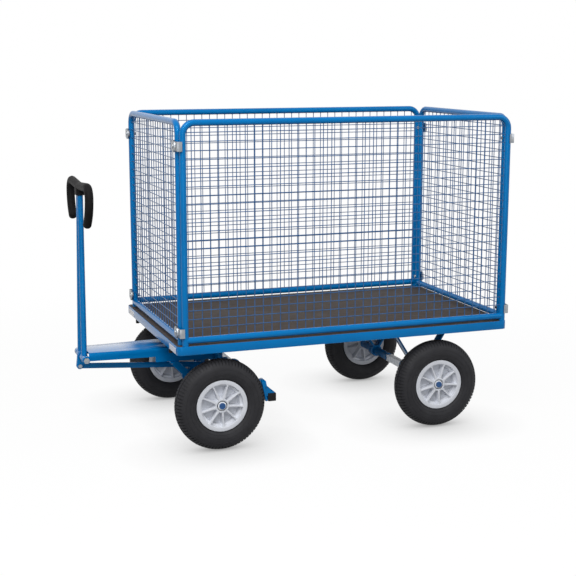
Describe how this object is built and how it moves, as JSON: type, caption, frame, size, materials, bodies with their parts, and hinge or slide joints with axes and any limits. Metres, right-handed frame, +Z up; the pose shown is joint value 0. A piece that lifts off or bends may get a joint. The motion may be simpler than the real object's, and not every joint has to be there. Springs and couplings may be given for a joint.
{
  "type": "mesh-sided hand cart",
  "caption": "Four-wheeled platform hand cart with lift-off wire-mesh walls, a turntable-steered front axle and a folding drawbar that works the wheel brake.",
  "frame": {"origin": "middle of the outline, on the floor", "axes": "+X towards the drawbar, +Y to the left side of the cart, +Z up"},
  "size_m": [1.913, 0.957, 1.4169],
  "materials": {
    "blue_paint": "satin powder coat, bright blue",
    "blue_wire": "satin powder coat on welded wire",
    "blue_plastic": "moulded, light sheen",
    "board_film": "dark brown film-faced plywood, satin",
    "zinc": "bright zinc plate",
    "galvanised": "dull galvanised",
    "race_steel": "greased bearing steel",
    "handle_steel": "plain tube under the grip",
    "grip_rubber": "dipped black grip, satin",
    "black_plastic": "moulded tube plug",
    "buffer_rubber": "matt black rubber",
    "tyre": "black block-tread rubber",
    "rim_plastic": "light grey moulded plastic"
  },
  "bodies": {
    "chassis": {"deck_frame": "blue_paint", "deck_board": "board_film", "deck_crossbeams": "blue_paint", "wall_pins": "blue_paint", "rim_buffers": "buffer_rubber", "turntable_mount_plate": "blue_paint", "turntable_upper_race": "race_steel", "kingpin": "zinc", "rear_axle_bar": "galvanised", "rear_axle_sleeves": "blue_paint", "rear_axle_brackets": "blue_paint", "rear_wheel_bearings": "race_steel", "rear_axle_washers": "zinc", "rear_axle_caps": "blue_plastic"},
    "bogie": {"bogie_plate": "blue_paint", "turntable_lower_race": "race_steel", "turntable_balls": "race_steel", "drawbar_channel": "blue_paint", "drawbar_pivot_bolt": "zinc", "brake_hanger_bolts": "zinc", "front_axle_bar": "galvanised", "front_axle_sleeves": "blue_paint", "front_axle_brackets": "blue_paint", "front_wheel_bearings": "race_steel", "front_axle_washers": "zinc", "front_axle_caps": "blue_plastic"},
    "drawbar": {"drawbar_cross_tube": "blue_paint", "drawbar_fork": "blue_paint", "drawbar_lugs": "blue_paint", "brake_rod_bolt": "zinc", "handle_bar": "handle_steel", "handle_grip": "grip_rubber"},
    "rod": {"brake_rod": "blue_paint"},
    "brake": {"brake_bar": "blue_paint", "brake_arms": "blue_paint", "brake_shoes": "blue_paint", "brake_end_caps": "black_plastic", "brake_lever": "blue_paint"},
    "left_wall": {"left_wall_frame": "blue_paint", "left_wall_mesh": "blue_wire"},
    "right_wall": {"right_wall_frame": "blue_paint", "right_wall_mesh": "blue_wire"},
    "front_wall": {"front_wall_frame": "blue_paint", "front_wall_mesh": "blue_wire", "front_corner_clips": "zinc", "front_clip_bolts": "zinc"},
    "rear_wall": {"rear_wall_frame": "blue_paint", "rear_wall_mesh": "blue_wire", "rear_corner_clips": "zinc", "rear_clip_bolts": "zinc"},
    "front_left_wheel": {"front_left_rim": "rim_plastic", "front_left_tyre": "tyre"},
    "front_right_wheel": {"front_right_rim": "rim_plastic", "front_right_tyre": "tyre"},
    "rear_left_wheel": {"rear_left_rim": "rim_plastic", "rear_left_tyre": "tyre"},
    "rear_right_wheel": {"rear_right_rim": "rim_plastic", "rear_right_tyre": "tyre"}
  },
  "joints": [
    {"name": "steer", "type": "hinge", "parent": "chassis", "child": "bogie", "pos_m": [0.4205, 0, 0.383], "axis": [0, 0, 1], "range_deg": [-50, 50]},
    {"name": "drawbar_fold", "type": "hinge", "parent": "bogie", "child": "drawbar", "pos_m": [0.9295, 0, 0.356], "axis": [0, 1, 0], "range_deg": [0, 90]},
    {"name": "rod_swing", "type": "hinge", "parent": "drawbar", "child": "rod", "pos_m": [0.9425, 0, 0.311], "axis": [0, 1, 0], "range_deg": [-90, 0]},
    {"name": "brake_swing", "type": "hinge", "parent": "bogie", "child": "brake", "pos_m": [0.3365, 0, 0.365], "axis": [0, 1, 0], "range_deg": [0, 10.8]},
    {"name": "front_left_wheel_spin", "type": "hinge", "parent": "bogie", "child": "front_left_wheel", "pos_m": [0.4205, 0.427, 0.2], "axis": [0, 1, 0], "continuous": true},
    {"name": "front_right_wheel_spin", "type": "hinge", "parent": "bogie", "child": "front_right_wheel", "pos_m": [0.4205, -0.427, 0.2], "axis": [0, 1, 0], "continuous": true},
    {"name": "rear_left_wheel_spin", "type": "hinge", "parent": "chassis", "child": "rear_left_wheel", "pos_m": [-0.6085, 0.427, 0.2], "axis": [0, 1, 0], "continuous": true},
    {"name": "rear_right_wheel_spin", "type": "hinge", "parent": "chassis", "child": "rear_right_wheel", "pos_m": [-0.6085, -0.427, 0.2], "axis": [0, 1, 0], "continuous": true},
    {"name": "left_wall_lift", "type": "slide", "parent": "chassis", "child": "left_wall", "axis": [0, 0, 1], "range_m": [0, 0.06]},
    {"name": "right_wall_lift", "type": "slide", "parent": "chassis", "child": "right_wall", "axis": [0, 0, 1], "range_m": [0, 0.06]},
    {"name": "front_wall_lift", "type": "slide", "parent": "chassis", "child": "front_wall", "axis": [0, 0, 1], "range_m": [0, 0.06]},
    {"name": "rear_wall_lift", "type": "slide", "parent": "chassis", "child": "rear_wall", "axis": [0, 0, 1], "range_m": [0, 0.06]}
  ],
  "couplings": [
    {"joint": "rod_swing", "follows": "drawbar_fold", "ratio": -1},
    {"joint": "brake_swing", "follows": "drawbar_fold", "ratio": 0.12}
  ]
}
